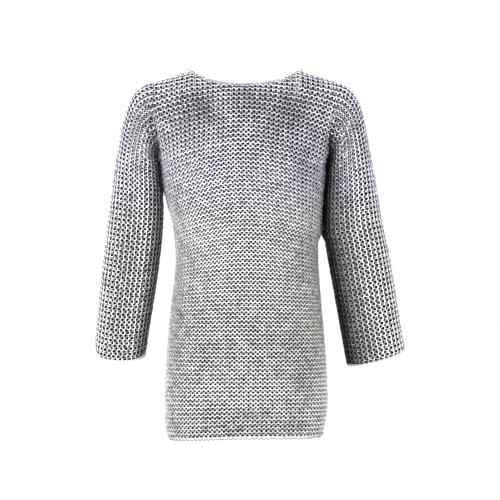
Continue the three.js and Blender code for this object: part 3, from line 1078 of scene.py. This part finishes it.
def sleeve_shade_sheet(side):
    """The sheet of painted shade behind a sleeve, all the way round."""
    net = SLEEVE_NETS[side]
    rows, cols = net.points.shape[:2]
    row = np.linspace(0, rows - 1 - SHADE_SHEET_CUFF, SHADE_SHEET_SLEEVE_ROWS)
    col = np.linspace(0, cols - 1, SHADE_SHEET_SLEEVE_COLUMNS + 1)[:-1]
    grid = net.sample(*(a.ravel() for a in np.meshgrid(row, col, indexing="ij")))
    grid = grid.reshape(len(row), len(col), 6)
    down = np.linspace(0, 1, len(row)) * SLEEVE_RINGS_ALONG
    return thin_wall(grid, col / (cols - 1) * SLEEVE_ROWS[side] / 2, down, True)


def outward_faces(mesh):
    """Turns the faces round where a closed mesh is inside out."""
    corners = np.array([v.co for v in mesh.vertices])
    mesh.calc_loop_triangles()
    triangles = np.array([t.vertices for t in mesh.loop_triangles])
    a, b, c = corners[triangles[:, 0]], corners[triangles[:, 1]], corners[triangles[:, 2]]
    if (a * np.cross(b, c)).sum() < 0:
        mesh.flip_normals()


def shade_sheet_piece(name, points, weave, faces):
    """A near-black thin sheet just behind the rings, painted shade for the hollow inside the mail."""
    mesh = bpy.data.meshes.new(name)
    mesh.from_pydata((points * MM).tolist(), [], faces)
    mesh.update()
    carry(mesh, "weave", weave)
    outward_faces(mesh)
    mesh.polygons.foreach_set("use_smooth", [True] * len(mesh.polygons))
    mesh.materials.append(DARK)
    return add_object(name, mesh)


def new_material(name):
    """A material with nodes, and its shader."""
    material = bpy.data.materials.new(name)
    material.use_nodes = True
    return material, material.node_tree.nodes["Principled BSDF"]


def dark_material():
    """Painted shade for the hollow inside the mail: nearly black, with soft patches a little less so.
    Inside the shirt the backs of the rings show.
    """
    material, shader = new_material("painted_shade_behind_mail")
    make = Nodes(material.node_tree)
    place = make.put("ShaderNodeTexCoord").outputs["Object"]
    dark = make.blend(make.noise(place, DARK_SCALE, FINE_DETAIL), DARKER, LESS_DARK)
    weave = make.put("ShaderNodeAttribute", {"attribute_name": "weave"}).outputs["Vector"]
    flat = {"voronoi_dimensions": "2D"}
    cells = make.put("ShaderNodeTexVoronoi", flat, Vector=weave, Scale=1.0, Randomness=INNER_UNEVENNESS)
    distance = cells.outputs["Distance"]
    wire = make.calculate("MULTIPLY", make.ramp(distance, *INNER_HOLE), make.ramp(distance, *INNER_EDGE))
    inside = make.put("ShaderNodeSeparateXYZ", Vector=weave).outputs["Z"]
    wire = make.calculate("MULTIPLY", wire, inside)
    colour = make.blend(wire, dark, INNER_RING)
    make.fill(shader, Base_Color=colour, Roughness=DARK_ROUGHNESS, Specular_IOR_Level=DARK_SHINE)
    return material


def steel_wear_and_light_group():
    """Colour and roughness of old bright wire: each ring its own tone, darker by painted shade and rougher
    where it lies deep, polished where it stands out, with soft patches of tarnish, a cool tint in broad
    patches and a painted cool reflection towards the top, the painted shade that the Shade input carries,
    and fine drawn scratches."""
    tree = bpy.data.node_groups.new("wire_wear_and_painted_light", "ShaderNodeTree")
    add_sockets(tree, "Color", "Bright", "Deep", "Tarnish", "Cool")
    add_sockets(tree, "Float", "Tone", "Stands Out", "Shade")
    add_sockets(tree, "Color", "Color", way="OUTPUT")
    add_sockets(tree, "Float", "Roughness", "Height", way="OUTPUT")
    make = Nodes(tree)
    given = make.put("NodeGroupInput").outputs
    place = make.put("ShaderNodeTexCoord").outputs["Object"]
    broad = make.noise(place, BROAD_SCALE, SOFT_DETAIL)
    patches = make.noise(place, PATCH_SCALE, FINE_DETAIL)
    scratches = make.noise(place, SCRATCH_SCALE, SOFT_DETAIL)
    height = make.put("ShaderNodeSeparateXYZ", Vector=place).outputs["Z"]
    # A cool tint in broad random patches, and a painted cool reflection, a little darker, towards the top
    cool = make.calculate("ADD", make.ramp(height, *COOL_REFLECTION_BY_HEIGHT), make.ramp(broad, *COOL_BY_PATCH))
    colour = make.blend(cool, given["Bright"], given["Cool"])
    colour = make.blend(make.ramp(patches, *TARNISH_BY_PATCH), colour, given["Tarnish"])
    brightness = make.ramp(given["Tone"], *BRIGHTNESS_BY_TONE)
    toned = make.put("ShaderNodeHueSaturation", Value=brightness, Color=colour).outputs["Color"]
    # Painted shade where the wire lies deep among other rings
    colour = make.blend(make.ramp(given["Stands Out"], *PAINTED_SHADE_BY_STANDING), toned, given["Deep"])
    # Painted shade from the Shade attribute
    colour = make.blend(given["Shade"], colour, PAINTED_SHADE_DARK)
    rough = make.calculate(
        "ADD", make.ramp(given["Tone"], *ROUGH_BY_TONE), make.ramp(patches, *ROUGH_BY_PATCH)
    )
    rough = make.calculate("ADD", rough, make.ramp(given["Stands Out"], *ROUGH_BY_STANDING))
    make.put("NodeGroupOutput", Color=colour, Roughness=rough, Height=scratches)
    return tree


def steel_material():
    """The rings' steel. Its node group of tone, tarnish, painted shade and painted cool reflection reads
    what each ring carries.
    """
    material, shader = new_material("steel_mail")
    make = Nodes(material.node_tree)
    colours = {"Bright": BRIGHT_STEEL, "Cool": COOL_TINT_AND_REFLECTION, "Tarnish": TARNISHED_STEEL, "Deep": SHADE_ON_DEEP_WIRE}
    wear_and_light = make.put("ShaderNodeGroup", {"node_tree": WIRE_WEAR_AND_LIGHT}, **colours)
    for name, carried in (("Tone", "tone"), ("Stands Out", "stands_out"), ("Shade", "shade")):
        attribute = make.put("ShaderNodeAttribute", {"attribute_name": carried})
        make.give(wear_and_light.inputs[name], attribute.outputs["Fac"])
    bump = make.put("ShaderNodeBump", Strength=SCRATCH_STRENGTH, Distance=SCRATCH_DEPTH)
    make.fill(bump, Height=wear_and_light.outputs["Height"])
    make.fill(shader, Metallic=1.0, Base_Color=wear_and_light.outputs["Color"])
    make.fill(shader, Roughness=wear_and_light.outputs["Roughness"], Normal=bump.outputs["Normal"])
    return material


RING_TREE = ring_tree()
WIRE_WEAR_AND_LIGHT = steel_wear_and_light_group()
STEEL = steel_material()
DARK = dark_material()


def flat_size(node, area):
    """Width and length of a piece of mail laid flat. A sleeve is as wide as its rows round the arm and as
    long as its rings along it. A piece of the body is as wide as the rings across a row."""
    if node.startswith("sleeve"):
        rows = SLEEVE_ROWS[node.removeprefix("sleeve_")]
        return rows * FLAT_ROW_SPACING * MM, SLEEVE_RINGS_ALONG * FLAT_PITCH * MM
    width = (HALF_COUNT + 1) * FLAT_PITCH * MM
    return width, area / width * BODY_CUT_AWAY


# The mail's pieces: name, rings, the solid that each stands for, and what each hangs from
PIECES = (
    ("front_lower", lambda: body_rings("front", 0, SPLIT_ROW), "body_front", ["front_upper"]),
    ("front_upper", lambda: body_rings("front", SPLIT_ROW, ALL_ROWS), "body_front", []),
    ("back_lower", lambda: body_rings("back", 0, SPLIT_ROW), "body_back", ["back_upper"]),
    ("back_upper", lambda: body_rings("back", SPLIT_ROW, ALL_ROWS), "body_back", []),
    ("sleeve_mail_right", lambda: sleeve_rings("right"), "sleeve_right", ["front_upper", "back_upper"]),
    ("sleeve_mail_left", lambda: sleeve_rings("left"), "sleeve_left", ["front_upper", "back_upper"]),
)
for seed, (name, maker, node, hung_from) in enumerate(PIECES, start=1):
    piece, count = mail_piece(name, maker(), STEEL, seed)
    area = count * FLAT_PITCH * FLAT_ROW_SPACING * MM * MM
    width, length = flat_size(node, area)
    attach(piece, "root")
    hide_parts(node)

# The sheets of painted shade: name, form, side, solid, what each hangs from, and flat width and area in
# metres
SHADE_SHEETS = (
    ("behind_front", body_shade_sheet, "front", "body_front", "front_upper", 0.5, 0.3704),
    ("behind_back", body_shade_sheet, "back", "body_back", "back_upper", 0.5, 0.3709),
    ("behind_sleeve_right", sleeve_shade_sheet, "right", "sleeve_right", "sleeve_mail_right", 0.4, 0.195),
    ("behind_sleeve_left", sleeve_shade_sheet, "left", "sleeve_left", "sleeve_mail_left", 0.4, 0.214),
)
for name, maker, which, node, hung_from, width, area in SHADE_SHEETS:
    piece = shade_sheet_piece(name, *maker(which))
    length = area / width * SHADE_SHEET_CUT_AWAY
    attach(piece, "root")
    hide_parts(node)


def area_light(name, place, aim, size, power):
    data = bpy.data.lights.new(name, "AREA")
    data.shape = "RECTANGLE"
    data.size, data.size_y = size
    data.energy = power
    light = add_object(name, data)
    light.location = place
    way = np.array(aim, float) - np.array(place, float)
    light.rotation_euler = Vector(way).to_track_quat("-Z", "Y").to_euler()


def studio():
    """A wide pale floor, a white world and the lamps."""
    mesh = bpy.data.meshes.new("floor")
    half, z = FLOOR_HALF, FLOOR_Z
    corners = [(-half, -half, z), (half, -half, z), (half, half, z), (-half, half, z)]
    mesh.from_pydata(corners, [], [(0, 1, 2, 3)])
    add_object("floor", mesh)
    pale, shader = new_material("pale_floor")
    Nodes(pale.node_tree).fill(shader, Base_Color=FLOOR_COLOUR, Roughness=FLOOR_ROUGHNESS)
    mesh.materials.append(pale)
    world = bpy.data.worlds.new("world")
    world.use_nodes = True
    background = world.node_tree.nodes["Background"]
    Nodes(world.node_tree).fill(background, Color=WORLD_COLOUR, Strength=WORLD_STRENGTH)
    bpy.context.scene.world = world
    bpy.context.scene.view_settings.view_transform = "Standard"
    for lamp in LAMPS:
        area_light(*lamp)


studio()
